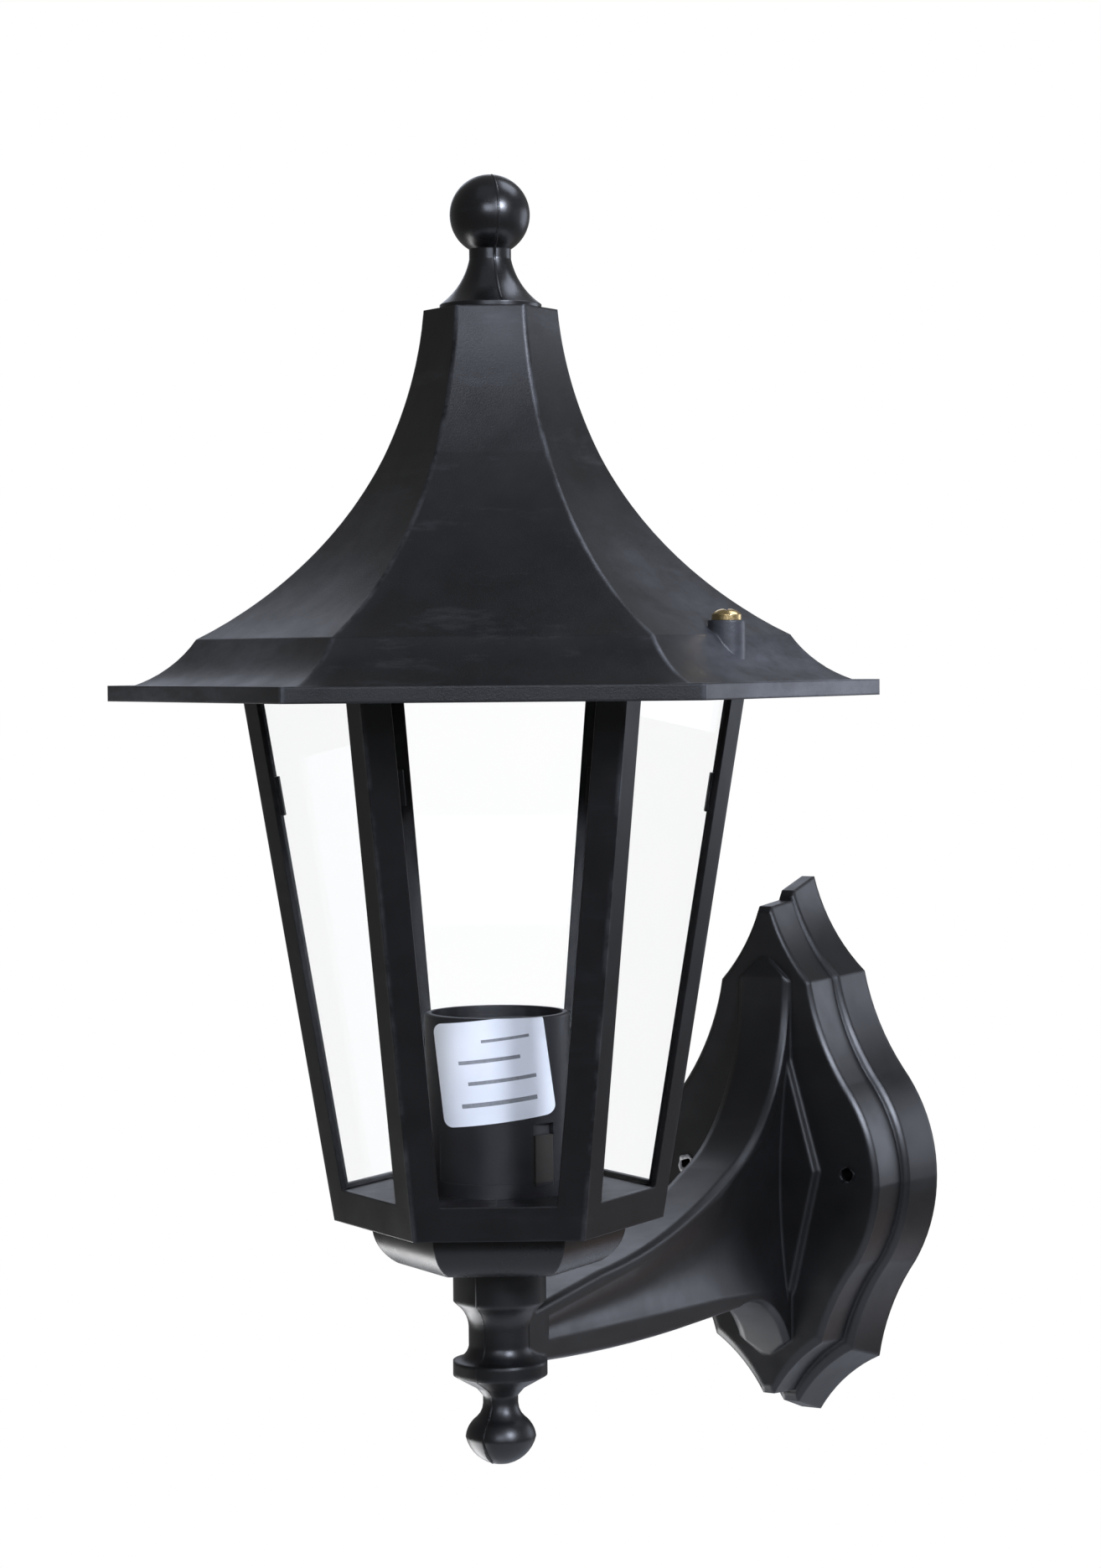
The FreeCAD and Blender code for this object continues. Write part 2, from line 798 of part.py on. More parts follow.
def frame_radius(z):
    """Corner radius of the tapering frame at the height z."""
    rise = (s.frame_top_radius - s.frame_foot_radius) / (s.frame_top - s.frame_foot)
    return s.frame_foot_radius + (as_size(z) - s.frame_foot) * rise


def frame_loft(name, inset, bottom, top):
    room = as_size(inset) / COS30
    return hexagon_loft(name, frame_radius(bottom) - room, bottom, frame_radius(top) - room, top)


def window_loop(bottom, top, edge):
    low = frame_radius(bottom) / 2 - edge
    high = frame_radius(top) / 2 - edge
    return [(-low, bottom), (low, bottom), (high, top), (-high, top)]


def bar_strips(bottom, top, outer, inner):
    """Two strips that follow opposite bars, between two depths inside the corners."""
    strip = [
        (frame_radius(bottom) - inner, bottom),
        (frame_radius(bottom) - outer, bottom),
        (frame_radius(top) - outer, top),
        (frame_radius(top) - inner, top),
    ]
    return [strip, mirrored(strip)]


def bar_ribs():
    clip_top = s.clip_bottom + s.clip_height
    ribs = bar_strips(s.frame_floor - 1, s.window_top + 1, s.frame_wall * 0.8, s.rib_depth)
    necks = bar_strips(s.clip_bottom, clip_top, s.frame_wall, s.clip_gap + s.clip_depth / 2)
    clips = bar_strips(s.clip_bottom, clip_top, s.clip_gap, s.clip_gap + s.clip_depth)
    pieces = []
    for k in range(3):
        turn = 30.0 + 60.0 * k
        pieces.append(prism("rib_%d" % k, ribs, s.rib_thickness, turn))
        pieces.append(prism("clip_neck_%d" % k, necks, s.rib_thickness, turn))
        pieces.append(prism("clip_%d" % k, clips, s.clip_width, turn))
    return pieces


def screw_lugs():
    bottom = s.lug_top - s.lug_thickness
    lug = box_loop(frame_radius(bottom) * COS30 - s.frame_wall / 2, bottom, s.lug_length, s.lug_top)
    return prism("lugs", [lug, mirrored(lug)], s.lug_width)


def boss_rods(name, radius, bottom, top):
    right = cylinder(name + "_right", radius, bottom, top, s.boss_reach)
    left = cylinder(name + "_left", radius, bottom, top, -s.boss_reach)
    return [right, left]


def make_lantern_frame():
    floor_bottom = s.frame_floor - s.frame_floor_thickness
    outer = frame_loft("frame_outer", 0, s.frame_foot, s.frame_top)
    room = frame_loft("frame_room", s.frame_wall, s.frame_floor, s.frame_top + 1)
    under = frame_loft("frame_under", s.frame_wall, s.frame_foot - 1, floor_bottom)
    windows = []
    for k in range(3):
        loop = window_loop(s.window_sill, s.window_top, s.frame_leg)
        windows.append(prism("window_%d" % k, [loop], s.frame_top_radius * 3, 90.0 + 60.0 * k))
    shell = cut("frame_shell", outer, [room, under] + windows)
    solid = fuse("frame_solid", [shell, screw_lugs()] + bar_ribs())
    hole = cylinder("floor_hole", s.nipple_radius + s.clearance, floor_bottom - 1, s.frame_floor + 1)
    lug_bottom = s.lug_top - s.lug_thickness
    pilots = boss_rods("pilot", s.roof_screw_radius + s.clearance, lug_bottom - 1, s.lug_top + 1)
    return cut("lantern_frame", solid, [hole] + pilots)


def make_panes():
    outside = s.frame_wall + s.clearance
    skin = cut("pane_skin", frame_loft("pane_outer", outside, s.frame_floor, s.pane_top),
               [frame_loft("pane_inner", outside + s.pane_thickness, s.frame_floor - 1, s.pane_top + 1)])
    panes = []
    for k in range(FACES):
        loop = window_loop(s.frame_floor - 2, s.pane_top + 2, s.pane_edge)
        sketch = upright_sketch("pane_%d_outline" % (k + 1), [loop], 90.0 + 60.0 * k)
        block = extrude("pane_%d_block" % (k + 1), sketch, s.frame_top_radius * 2, False)
        panes.append(common("pane_%d" % (k + 1), [skin, block]))
    return panes


# Roof with finial and screws


def roof_half(inset):
    """Right half of the bell profile, set inwards by inset."""
    inset = as_size(inset)
    return [
        (s.roof_rim_radius - inset, s.roof_rim - inset),
        (s.roof_rim_radius - inset, s.roof_ledge - inset),
        (s.roof_ledge_radius - inset * 0.25, s.roof_ledge - inset, s.roof_cove_curve + inset, -1),
        (s.roof_step_radius - inset * 0.7, s.roof_step - inset * 0.74, s.roof_bell_curve + inset, -1),
        (s.roof_shoulder_radius - inset * 0.92, s.roof_shoulder - inset * 0.4,
         s.roof_crown_curve + inset, -1),
        (s.roof_cap_radius - inset * 0.88, s.roof_cap - inset),
    ]


def roof_ridge(edge):
    """True for the ridges that run down the bell's six corners."""
    middle = edge.valueAt((edge.FirstParameter + edge.LastParameter) / 2)
    turn = (math.degrees(math.atan2(middle.y, middle.x)) - 30) % 60
    heights = [vertex.Point.z for vertex in edge.Vertexes]
    return min(turn, 60 - turn) < 0.5 and max(heights) - min(heights) > 5


def make_roof():
    length = s.roof_rim_radius * 3
    outer = hexagonal("roof_outer", closed_mirror(roof_half(0)), length)
    inner = hexagonal("roof_inner", closed_mirror(roof_half(s.roof_wall)), length)
    shell = cut("roof_shell", rounded("roof_soft", outer, s.roof_ridge_round, roof_ridge), [inner])
    solid = fuse("roof_solid", [shell] + boss_rods("boss", s.boss_radius, s.lug_top, s.boss_top))
    room = s.clearance * 3
    holes = boss_rods("boss_hole", s.roof_screw_radius + room, s.roof_screw_end - 1, s.boss_top + 1)
    under_cap = s.roof_cap - s.roof_wall - 2
    holes.append(cylinder("cap_hole", s.finial_screw_radius + room, under_cap, s.roof_cap + 1))
    return cut("roof", solid, holes)


def make_finial():
    foot = s.roof_cap
    ball_low = s.finial_ball_middle - root(
        s.finial_ball_radius * s.finial_ball_radius - s.finial_neck_radius * s.finial_neck_radius)
    bore = s.finial_screw_radius + s.clearance
    return turned("finial", [
        (bore, foot),
        (s.finial_foot_radius, foot),
        (s.finial_foot_radius, foot + s.finial_band),
        (s.finial_flare_radius, foot + s.finial_flare, s.finial_flare_curve, -1),
        (s.finial_neck_radius, foot + s.finial_neck),
        (s.finial_neck_radius, foot + ball_low, s.finial_ball_radius, 1),
        (as_size(0), foot + s.finial_ball_middle + s.finial_ball_radius),
        (as_size(0), foot + s.finial_screw_depth + 1),
        (bore, foot + s.finial_screw_depth + 1),
    ])


def make_finial_screw():
    under = s.roof_cap - s.roof_wall
    return turned("finial_screw", [
        (as_size(0), under - s.finial_screw_head),
        (s.finial_screw_head_radius * 0.7, under - s.finial_screw_head),
        (s.finial_screw_head_radius, under - s.finial_screw_head * 0.5),
        (s.finial_screw_head_radius, under),
        (s.finial_screw_radius, under),
        (s.finial_screw_radius, s.roof_cap + s.finial_screw_depth),
        (as_size(0), s.roof_cap + s.finial_screw_depth),
    ])


def roof_screw(hand, side):
    """A pan-head screw with a cross recess."""
    head = s.boss_top + s.roof_screw_head
    pan = turned("roof_screw_" + hand + "_pan", [
        (as_size(0), s.roof_screw_end),
        (s.roof_screw_radius * 0.5, s.roof_screw_end),
        (s.roof_screw_radius, s.roof_screw_end + 2),
        (s.roof_screw_radius, s.boss_top),
        (s.roof_screw_head_radius, s.boss_top),
        (s.roof_screw_head_radius, s.boss_top + s.roof_screw_head * 0.5,
         s.roof_screw_head_radius * 1.02, 1),
        (s.roof_screw_head_radius * 0.35, head),
        (as_size(0), head),
    ])
    pan.setExpression("Placement.Base.x", (s.boss_reach * side).text)
    recess = []
    for name, turn in (("slot_a", 25.0), ("slot_b", 115.0)):
        slot = box_loop(-s.roof_screw_head_radius * 0.6, head - s.roof_screw_head * 0.6,
                        s.roof_screw_head_radius * 0.6, head + 1)
        blade = prism("roof_screw_" + hand + "_" + name, [slot], s.roof_screw_slot, turn)
        blade.setExpression("Placement.Base.x", (s.boss_reach * side).text)
        recess.append(blade)
    return cut("roof_screw_" + hand, pan, recess)


def make_roof_screws():
    return group("roof_screws", [roof_screw("right", 1), roof_screw("left", -1)])


# Lampholder and sticker


def tube(label, inner, outer, bottom, top):
    return turned(label, box_loop(inner, bottom, outer, top))


def latch_block(name, width, bottom, top):
    """A block across the lampholder's wall at the latch."""
    half = as_size(width) / 2
    sketch = upright_sketch(name + "_outline", [box_loop(-half, bottom, half, top)], LATCH_ANGLE + 90.0)
    return extrude(name, sketch, s.holder_radius * 2, False)


def make_lampholder_base():
    floor = s.frame_floor
    wall_inside = s.holder_radius - s.holder_wall
    disc = tube("holder_disc", s.nipple_radius + s.clearance, s.holder_radius, floor, s.holder_base_top)
    ring = tube("latch_ring", wall_inside, s.holder_radius + 0.3, s.holder_base_top - 1, s.latch_top)
    latch = common("latch", [ring, latch_block("latch_block", s.latch_width, floor, s.latch_top + 1)])
    return fuse("lampholder_base", [disc, latch])


def make_lampholder_skirt():
    wall_inside = s.holder_radius - s.holder_wall
    sleeve = turned("holder_sleeve", [
        (wall_inside, s.holder_base_top),
        (s.holder_radius, s.holder_base_top),
        (s.holder_radius, s.holder_top - s.holder_rim_radius, s.holder_rim_radius, 1),
        (s.holder_radius - s.holder_rim_radius, s.holder_top),
        (wall_inside, s.holder_top),
    ])
    slot = latch_block("latch_slot", s.latch_slot_width, s.holder_base_top - 1, s.latch_slot_top)
    return cut("lampholder_skirt", sleeve, [slot])


def make_lampholder_insert():
    outer = s.holder_radius - s.holder_wall - s.clearance * 2
    inner = s.shell_radius + s.shell_wall + s.clearance
    return turned("lampholder_insert", [
        (as_size(0), s.holder_base_top),
        (outer, s.holder_base_top),
        (outer, s.insert_top),
        (inner, s.insert_top),
        (inner, s.shell_bottom),
        (s.shell_radius + s.shell_wall / 3, s.shell_bottom),
        (s.shell_radius + s.shell_wall / 3, s.insert_floor),
        (as_size(0), s.insert_floor),
    ])


def make_screw_shell():
    return tube("screw_shell", s.shell_radius, s.shell_radius + s.shell_wall, s.shell_bottom, s.shell_top)


def make_centre_contact():
    floor = s.insert_floor
    return turned("centre_contact", [
        (as_size(0), floor),
        (s.contact_radius, floor),
        (s.contact_radius, floor + s.contact_height * 0.35),
        (s.contact_radius * 0.6, floor + s.contact_height * 0.35),
        (s.contact_radius * 0.6, floor + s.contact_height * 0.7,
         dome_curve(s.contact_radius * 0.6, s.contact_height * 0.3), 1),
        (as_size(0), floor + s.contact_height),
    ])


def rounded_box(width, height, corner, middle):
    half = width / 2
    low = middle - height / 2
    high = middle + height / 2
    return [
        (corner - half, low),
        (half - corner, low, corner, 1),
        (half, low + corner),
        (half, high - corner, corner, 1),
        (half - corner, high),
        (corner - half, high, corner, 1),
        (-half, high - corner),
        (-half, low + corner, corner, 1),
    ]


def make_rating_label():
    inner = s.holder_radius + s.clearance
    sheet = tube("label_sheet", inner, inner + s.label_thickness, s.holder_base_top, s.holder_top)
    loop = rounded_box(s.label_width, s.label_height, s.label_corner, as_size(0))
    sketch = upright_sketch("label_outline", [loop], LABEL_ANGLE + 90.0)
    tilt = FreeCAD.Rotation(FreeCAD.Vector(0, 0, 1), LABEL_TILT)
    sketch.Placement = FreeCAD.Placement(FreeCAD.Vector(), sketch.Placement.Rotation * tilt)
    sketch.setExpression("Placement.Base.z", s.label_middle.text)
    block = extrude("label_block", sketch, s.holder_radius * 2, False)
    return common("rating_label", [sheet, block])


# Threaded tube, nut and terminal block


def make_nipple():
    return tube("nipple", s.nipple_bore, s.nipple_radius, -s.nipple_bottom, s.nipple_top)


def make_nipple_nut():
    floor = s.cup_floor - s.collar_top
    block = hexagon_loft("nut_block", s.nut_radius, floor, s.nut_radius, floor + s.nut_height)
    hole = cylinder("nut_hole", s.nipple_radius + s.clearance, floor - 1, floor + s.nut_height + 1)
    return cut("nipple_nut", block, [hole])


def block_places():
    half = s.block_pitch / 2
    return (("left", -half), ("right", half))


def make_terminal_block():
    front = s.wall_reach + s.plate_wall
    back = front + s.block_depth
    low = s.block_middle - s.block_height / 2
    high = s.block_middle + s.block_height / 2
    loop = box_loop(-s.block_width / 2, low, s.block_width / 2, high)
    body = prism("block_body", [loop], s.block_depth, 0.0, front + s.block_depth / 2)
    rods = []
    sleeves = []
    screws = []
    wire_room = s.sleeve_radius + s.clearance
    screw_room = s.terminal_screw_radius + s.clearance
    for hand, x in block_places():
        middle_y = front + s.block_depth * 0.42
        rods.append(cylinder("wire_hole_" + hand, wire_room, low - 1, high + 1, x, middle_y))
        outer = cylinder("sleeve_outer_" + hand, s.sleeve_radius, low + 1, high - 1, x, middle_y)
        inner = cylinder("sleeve_inner_" + hand, s.sleeve_bore, low, high, x, middle_y)
        sleeves.append(cut("sleeve_" + hand, outer, [inner]))
        for level, z in (("low", low + s.terminal_screw_inset), ("high", high - s.terminal_screw_inset)):
            name = hand + "_" + level
            start = middle_y + s.sleeve_radius + s.clearance * 2
            rods.append(wall_rod("screw_hole_" + name, screw_room, middle_y, back + 1, x, z))
            screws.append(wall_rod("screw_" + name, s.terminal_screw_radius, start, back - 1, x, z))
    block = cut("terminal_block", body, rods)
    return [block, group("terminal_sleeves", sleeves), group("terminal_screws", screws)]


# Placement, checks and export


def place(node):
    node.setExpression("Placement.Base.y", (-(s.wall_reach + s.plate_depth)).text)


def check(node):
    shape = node.Shape
    if shape.isNull() or not shape.isValid():
        raise RuntimeError("bad shape: " + node.Label)
    print(node.Label, len(shape.Solids), round(shape.Volume, 1), shape.BoundBox)


def check_states():
    for item in doc.Objects:
        if "Invalid" in item.State or "Error" in item.State:
            raise RuntimeError("bad object: " + item.Label)


fill_sheet()
NODES = [
    make_bracket(),
    make_base_cup(),
    make_lantern_frame(),
    make_roof(),
    make_finial(),
    make_finial_screw(),
    make_roof_screws(),
    make_lampholder_base(),
    make_lampholder_skirt(),
    make_lampholder_insert(),
    make_screw_shell(),
    make_centre_contact(),
    make_rating_label(),
    make_nipple(),
    make_nipple_nut(),
]
NODES += make_panes()
NODES += make_terminal_block()
for piece in NODES:
    place(piece)
doc.recompute()
check_states()
os.makedirs("parts", exist_ok=True)
for piece in NODES:
    check(piece)
    piece.Shape.exportStep("parts/" + piece.Label + ".step")
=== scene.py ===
import json
import math
from collections import namedtuple

import bpy
from mathutils import Matrix, Vector


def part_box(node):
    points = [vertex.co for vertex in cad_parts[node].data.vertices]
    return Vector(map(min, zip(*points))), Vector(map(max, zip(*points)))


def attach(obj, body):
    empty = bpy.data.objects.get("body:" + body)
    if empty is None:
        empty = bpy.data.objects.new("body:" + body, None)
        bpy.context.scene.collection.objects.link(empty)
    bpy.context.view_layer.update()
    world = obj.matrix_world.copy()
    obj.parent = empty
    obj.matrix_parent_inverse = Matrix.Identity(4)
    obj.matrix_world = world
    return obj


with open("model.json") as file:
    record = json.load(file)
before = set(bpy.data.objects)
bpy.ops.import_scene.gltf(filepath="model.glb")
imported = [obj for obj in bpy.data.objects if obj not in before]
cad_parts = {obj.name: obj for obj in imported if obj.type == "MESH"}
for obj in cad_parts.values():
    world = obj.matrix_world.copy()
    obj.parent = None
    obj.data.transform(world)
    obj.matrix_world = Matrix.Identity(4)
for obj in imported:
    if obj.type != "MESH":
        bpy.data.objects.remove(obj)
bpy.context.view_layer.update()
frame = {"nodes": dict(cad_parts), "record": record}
nodes = frame["nodes"]
mounts = {mount["name"]: mount for mount in frame["record"]["mounts"]}
scene = bpy.context.scene
MM = 0.001


def foot(node_name):
    """Height of a node's lowest point, in millimetres."""
    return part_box(node_name)[0][2] / MM


def top(node_name):
    """Height of a node's highest point, in millimetres."""
    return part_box(node_name)[1][2] / MM


def half_width(node_name):
    """How far a node reaches to the right of the middle plane, in millimetres."""
    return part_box(node_name)[1][0] / MM


# Lantern axis, in metres from the wall
AXIS_Y = mounts["lamp_socket"]["pos_m"][1]

# Wall plate and its screw holes, in millimetres
PLATE_FRONT = -33.0
HOLE_X = mounts["wall_screws"]["dims"]["spacing_x_mm"] / 2
HOLE_RADIUS = mounts["wall_screws"]["dims"]["hole_r_mm"]
BURR_SPREAD = 0.15

# Finial, in millimetres, with rises counted from its foot
FINIAL_FOOT = foot("finial")
FLARE_RADIUS = 13.1
FLARE_RISE = 2.1
FLARE_CURVE = 20.0
NECK_RADIUS = 5.76
NECK_RISE = 13.8
BALL_RADIUS = 11.0
BALL_MIDDLE = top("finial") - BALL_RADIUS

# Turned stem, in millimetres
KNOB_RADIUS = 9.8
KNOB_DROP = 7.8
KNOB_MIDDLE = -52.2
THROAT_RADIUS = 4.9
SHOULDER_RADIUS = 6.8
DISC_RADIUS = 13.1
STEM_NECK_RADIUS = 8.7
COLLAR_RADIUS = 12.9

# Lampholder sleeve and its sticker, in millimetres and degrees
SLEEVE_RADIUS = half_width("lampholder_skirt")
SLEEVE_FOOT = foot("lampholder_skirt")
LABEL_STAND = 0.34
LABEL_RISE = 30.9
LABEL_RADIUS = SLEEVE_RADIUS + LABEL_STAND
LABEL_MIDDLE = SLEEVE_FOOT + LABEL_RISE
LABEL_ANGLE = -64.0
LABEL_TILT = 7.0

# Angles of the parting lines about the lantern axis
FINIAL_SEAM = -47.0
STEM_SEAM = -90.0
SLEEVE_SEAM = -112.0

# Camera, set by the photo
PHOTO_HEIGHT = 1871
PHOTO_FOCAL = 4281.0
SENSOR = 36.0
CAMERA_PLACE = (0.49618, -1.05596, 0.16380)
CAMERA_AZIMUTH = 29.27
CAMERA_TILT = 2.054
CAMERA_ROLL = -0.499

# Colours
WHITE = (1.0, 1.0, 1.0)
PLASTIC_DARK = (0.0036, 0.0034, 0.0035)
PLASTIC_LIGHT = (0.0062, 0.0060, 0.0064)
WORN_COLOUR = (0.095, 0.097, 0.105)
DUST_AND_SHEEN_COLOUR = (0.13, 0.135, 0.15)
HOLDER_DARK = (0.0075, 0.0075, 0.0082)
HOLDER_LIGHT = (0.0115, 0.0115, 0.0125)
TAB_COLOUR = (0.030, 0.027, 0.023)
FLOOR_DARK = (0.86, 0.86, 0.86)
FLOOR_LIGHT = (0.89, 0.89, 0.89)
ROOM_COLOUR = (0.98, 0.99, 1.0)
DAYLIGHT = (0.78, 0.84, 1.0)
WARM_LIGHT = (1.0, 0.5, 0.36)

# Wear, and dust with painted sheen: ridges round the lantern, their rubbed width, heights of the dusty and
# sheened band, front side left plain
RIDGES = 6
RUBBED_WIDTH = 1.1 * MM
DUST_AND_SHEEN_FULL = 158.0 * MM
DUST_AND_SHEEN_END = 212.0 * MM
PLAIN_FRONT_SIDE = math.radians(30.0)

# Height from which the lampholder's latch tab stands above its floor disc
TAB_START = 20.6 * MM

# Most noise lies between these values
NOISE_LOW = 0.3
NOISE_HIGH = 0.7

# How much of the white background shows in gloss
GLOSS_SHARE = 0.05

# Side of an arc on which its centre lies, seen along its way
LEFT = 1
RIGHT = -1


# Materials


def opaque(colour):
    """A colour with full alpha."""
    return (*colour, 1.0)


class Wiring:
    """A node tree with short ways to add nodes to it."""

    def __init__(self, tree):
        self.tree = tree

    def add(self, kind, **settings):
        node = self.tree.nodes.new(kind)
        for key, value in settings.items():
            setattr(node, key, value)
        return node

    def join(self, value, socket):
        """Links a socket or sets a plain value."""
        if isinstance(value, bpy.types.NodeSocket):
            self.tree.links.new(value, socket)
        else:
            socket.default_value = value

    def fill(self, node, **sockets):
        """Sets or links sockets by their names, written with underscores."""
        for key, value in sockets.items():
            self.join(value, node.inputs[key.replace("_", " ")])

    def maths(self, operation, first, second=0.0):
        node = self.add("ShaderNodeMath", operation=operation)
        self.join(first, node.inputs[0])
        self.join(second, node.inputs[1])
        return node.outputs["Value"]

    def span(self, factor, low, high, start=NOISE_LOW, end=NOISE_HIGH, shape="LINEAR"):
        """A number that runs from low to high while the factor runs from start to end."""
        node = self.add("ShaderNodeMapRange", interpolation_type=shape)
        self.fill(node, Value=factor, From_Min=start, From_Max=end, To_Min=low, To_Max=high)
        return node.outputs["Result"]

    def parts(self, place):
        """The three parts of a place."""
        node = self.add("ShaderNodeSeparateXYZ")
        self.join(place, node.inputs["Vector"])
        return node.outputs["X"], node.outputs["Y"], node.outputs["Z"]


class Paint(Wiring):
    """A procedural material with one principled shader."""

    def __init__(self, name):
        self.material = bpy.data.materials.new(name)
        self.material.use_nodes = True
        super().__init__(self.material.node_tree)
        self.shader = self.tree.nodes["Principled BSDF"]
        self.place = self.add("ShaderNodeTexCoord").outputs["Object"]

    def surface(self, **sockets):
        """Fills the shader and gives the finished material."""
        self.fill(self.shader, **sockets)
        return self.material

    def noise(self, scale, detail=4.0, roughness=0.55, stretch=None):
        """Cloudy noise, with its place stretched by a factor along each axis if stretch is given."""
        place = self.place
        if stretch is not None:
            mapping = self.add("ShaderNodeMapping")
            self.fill(mapping, Vector=place, Scale=stretch)
            place = mapping.outputs["Vector"]
        node = self.add("ShaderNodeTexNoise")
        self.fill(node, Vector=place, Scale=scale, Detail=detail, Roughness=roughness)
        return node.outputs["Fac"]

    def ramp(self, noise, low, high):
        """A colour that runs from low to high with a noise."""
        node = self.add("ShaderNodeValToRGB")
        first, last = node.color_ramp.elements
        first.position = NOISE_LOW
        last.position = NOISE_HIGH
        first.color = opaque(low)
        last.color = opaque(high)
        self.join(noise, node.inputs["Fac"])
        return node.outputs["Color"]

    def blend(self, factor, first, second):
        """A colour socket mixed with a plain colour."""
        node = self.add("ShaderNodeMix", data_type="RGBA")
        self.join(factor, node.inputs[0])
        self.join(first, node.inputs[6])
        self.join(opaque(second), node.inputs[7])
        return node.outputs[2]

    def about_axis(self):
        """Ways across and towards the wall from the lantern axis, distance from it, and height."""
        across, along, height = self.parts(self.place)
        along = self.maths("SUBTRACT", along, AXIS_Y)
        across_square = self.maths("MULTIPLY", across, across)
        along_square = self.maths("MULTIPLY", along, along)
        reach = self.maths("SQRT", self.maths("ADD", across_square, along_square))
        return across, along, reach, height

    def ridge_mask(self, width):
        """One on the ridges round the lantern axis, falling to zero at the distance width."""
        across, along, reach, _ = self.about_axis()
        half_turns = self.maths("MULTIPLY", self.maths("ARCTAN2", along, across), RIDGES / 2)
        wave = self.maths("ABSOLUTE", self.maths("COSINE", half_turns))
        distance = self.maths("MULTIPLY", self.maths("DIVIDE", reach, RIDGES / 2), wave)
        return self.span(distance, 1.0, 0.0, start=width * 0.3, end=width)

    def rubbed_ridges(self, amount):
        """Patchy wear along the ridges."""
        patches = self.noise(scale=60.0, detail=6.0, roughness=0.7)
        rubbed = self.span(patches, 0.0, amount, start=0.42, end=0.66)
        return self.maths("MULTIPLY", self.ridge_mask(RUBBED_WIDTH), rubbed)

    def side_dust_and_sheen(self, amount):
        """Paler streaks low on the roof, on all sides but the front one: partly dust, partly painted
        sheen.
        """
        across, along, reach, height = self.about_axis()
        forward = self.maths("MULTIPLY", across, math.sin(PLAIN_FRONT_SIDE))
        forward = self.maths("SUBTRACT", forward, self.maths("MULTIPLY", along, math.cos(PLAIN_FRONT_SIDE)))
        sides = self.span(self.maths("DIVIDE", forward, reach), 1.0, 0.0, start=0.6, end=0.9)
        low = self.span(height, 1.0, 0.0, start=DUST_AND_SHEEN_FULL, end=DUST_AND_SHEEN_END)
        streaks = self.noise(scale=34.0, detail=9.0, roughness=0.72, stretch=(1.0, 1.0, 2.5))
        streaks = self.span(streaks, 0.2, 1.0, start=0.36, end=0.66)
        dust_and_sheen_share = self.maths("MULTIPLY", self.maths("MULTIPLY", sides, low), streaks)
        return self.maths("MULTIPLY", dust_and_sheen_share, amount)

    def soft_edges(self, radius):
        """Normal with edges rounded by radius."""
        node = self.add("ShaderNodeBevel", samples=6)
        self.fill(node, Radius=radius)
        return node.outputs["Normal"]

    def bump(self, height, strength, depth, normal=None):
        """Normal that a height bends, on top of another normal if there is one."""
        node = self.add("ShaderNodeBump")
        self.fill(node, Height=height, Strength=strength, Distance=depth)
        if normal is not None:
            self.join(normal, node.inputs["Normal"])
        return node.outputs["Normal"]


def black_plastic(name, rough, grain, scuffs, edge, worn_ridges=0.0, dust_and_sheen=0.0, shine=0.5):
    """Moulded black plastic with fine grain, scuffed flow marks, worn ridges, and paler low sides that are
    partly dust, partly painted sheen.
    """
    paint = Paint(name)
    colour = paint.ramp(paint.noise(scale=38.0, detail=6.0), PLASTIC_DARK, PLASTIC_LIGHT)
    flow_marks = paint.noise(scale=24.0, detail=9.0, roughness=0.72, stretch=(1.0, 1.0, 5.0))
    worn = paint.span(flow_marks, 0.0, scuffs, start=0.56, end=0.80)
    if worn_ridges > 0.0:
        worn = paint.maths("ADD", worn, paint.rubbed_ridges(worn_ridges))
    colour = paint.blend(worn, colour, WORN_COLOUR)
    if dust_and_sheen > 0.0:
        # Paler colour low on the sides is partly dust, partly painted sheen.
        colour = paint.blend(paint.side_dust_and_sheen(dust_and_sheen), colour, DUST_AND_SHEEN_COLOUR)
    patches = paint.noise(scale=90.0, detail=5.0, roughness=0.6)
    fine_grain = paint.noise(scale=2100.0, detail=3.0, roughness=0.6)
    return paint.surface(
        Base_Color=colour,
        Roughness=paint.span(patches, rough - 0.04, rough + 0.05),
        Normal=paint.bump(fine_grain, grain, 0.10 * MM, paint.soft_edges(edge)),
        Specular_IOR_Level=shine,
    )


def clear_pane():
    """Clear plastic with a faint uneven film."""
    paint = Paint("clear_pane")
    film = paint.noise(scale=55.0, detail=5.0, roughness=0.65)
    return paint.surface(
        Base_Color=paint.ramp(film, (0.99, 0.995, 0.995), WHITE),
        Roughness=paint.span(film, 0.0, 0.02),
        Transmission_Weight=1.0,
        IOR=1.12,
    )


def metal(name, dark, light, smooth, rough):
    """Bare metal with fine turning marks and a slight tarnish."""
    paint = Paint(name)
    tarnish = paint.noise(scale=240.0, detail=6.0, roughness=0.65)
    brushed = paint.noise(scale=900.0, detail=4.0, roughness=0.7, stretch=(1.0, 1.0, 5.0))
    return paint.surface(
        Base_Color=paint.ramp(tarnish, dark, light),
        Roughness=paint.span(brushed, smooth, rough),
        Metallic=1.0,
        Normal=paint.bump(brushed, 0.12, 0.08 * MM, paint.soft_edges(0.25 * MM)),
    )


def holder_plastic(name, dark, light, rough, tab=None):
    """Satin moulded plastic; tab is the colour of what stands above the lampholder's floor disc."""
    paint = Paint(name)
    colour = paint.ramp(paint.noise(scale=70.0, detail=5.0), dark, light)
    if tab is not None:
        _, _, height = paint.parts(paint.place)
        colour = paint.blend(paint.maths("GREATER_THAN", height, TAB_START), colour, tab)
    fine_grain = paint.noise(scale=900.0, detail=3.0)
    return paint.surface(
        Base_Color=colour,
        Roughness=paint.span(paint.noise(scale=160.0), rough - 0.05, rough + 0.05),
        Normal=paint.bump(fine_grain, 0.05, 0.06 * MM, paint.soft_edges(0.3 * MM)),
        Specular_IOR_Level=0.5,
    )


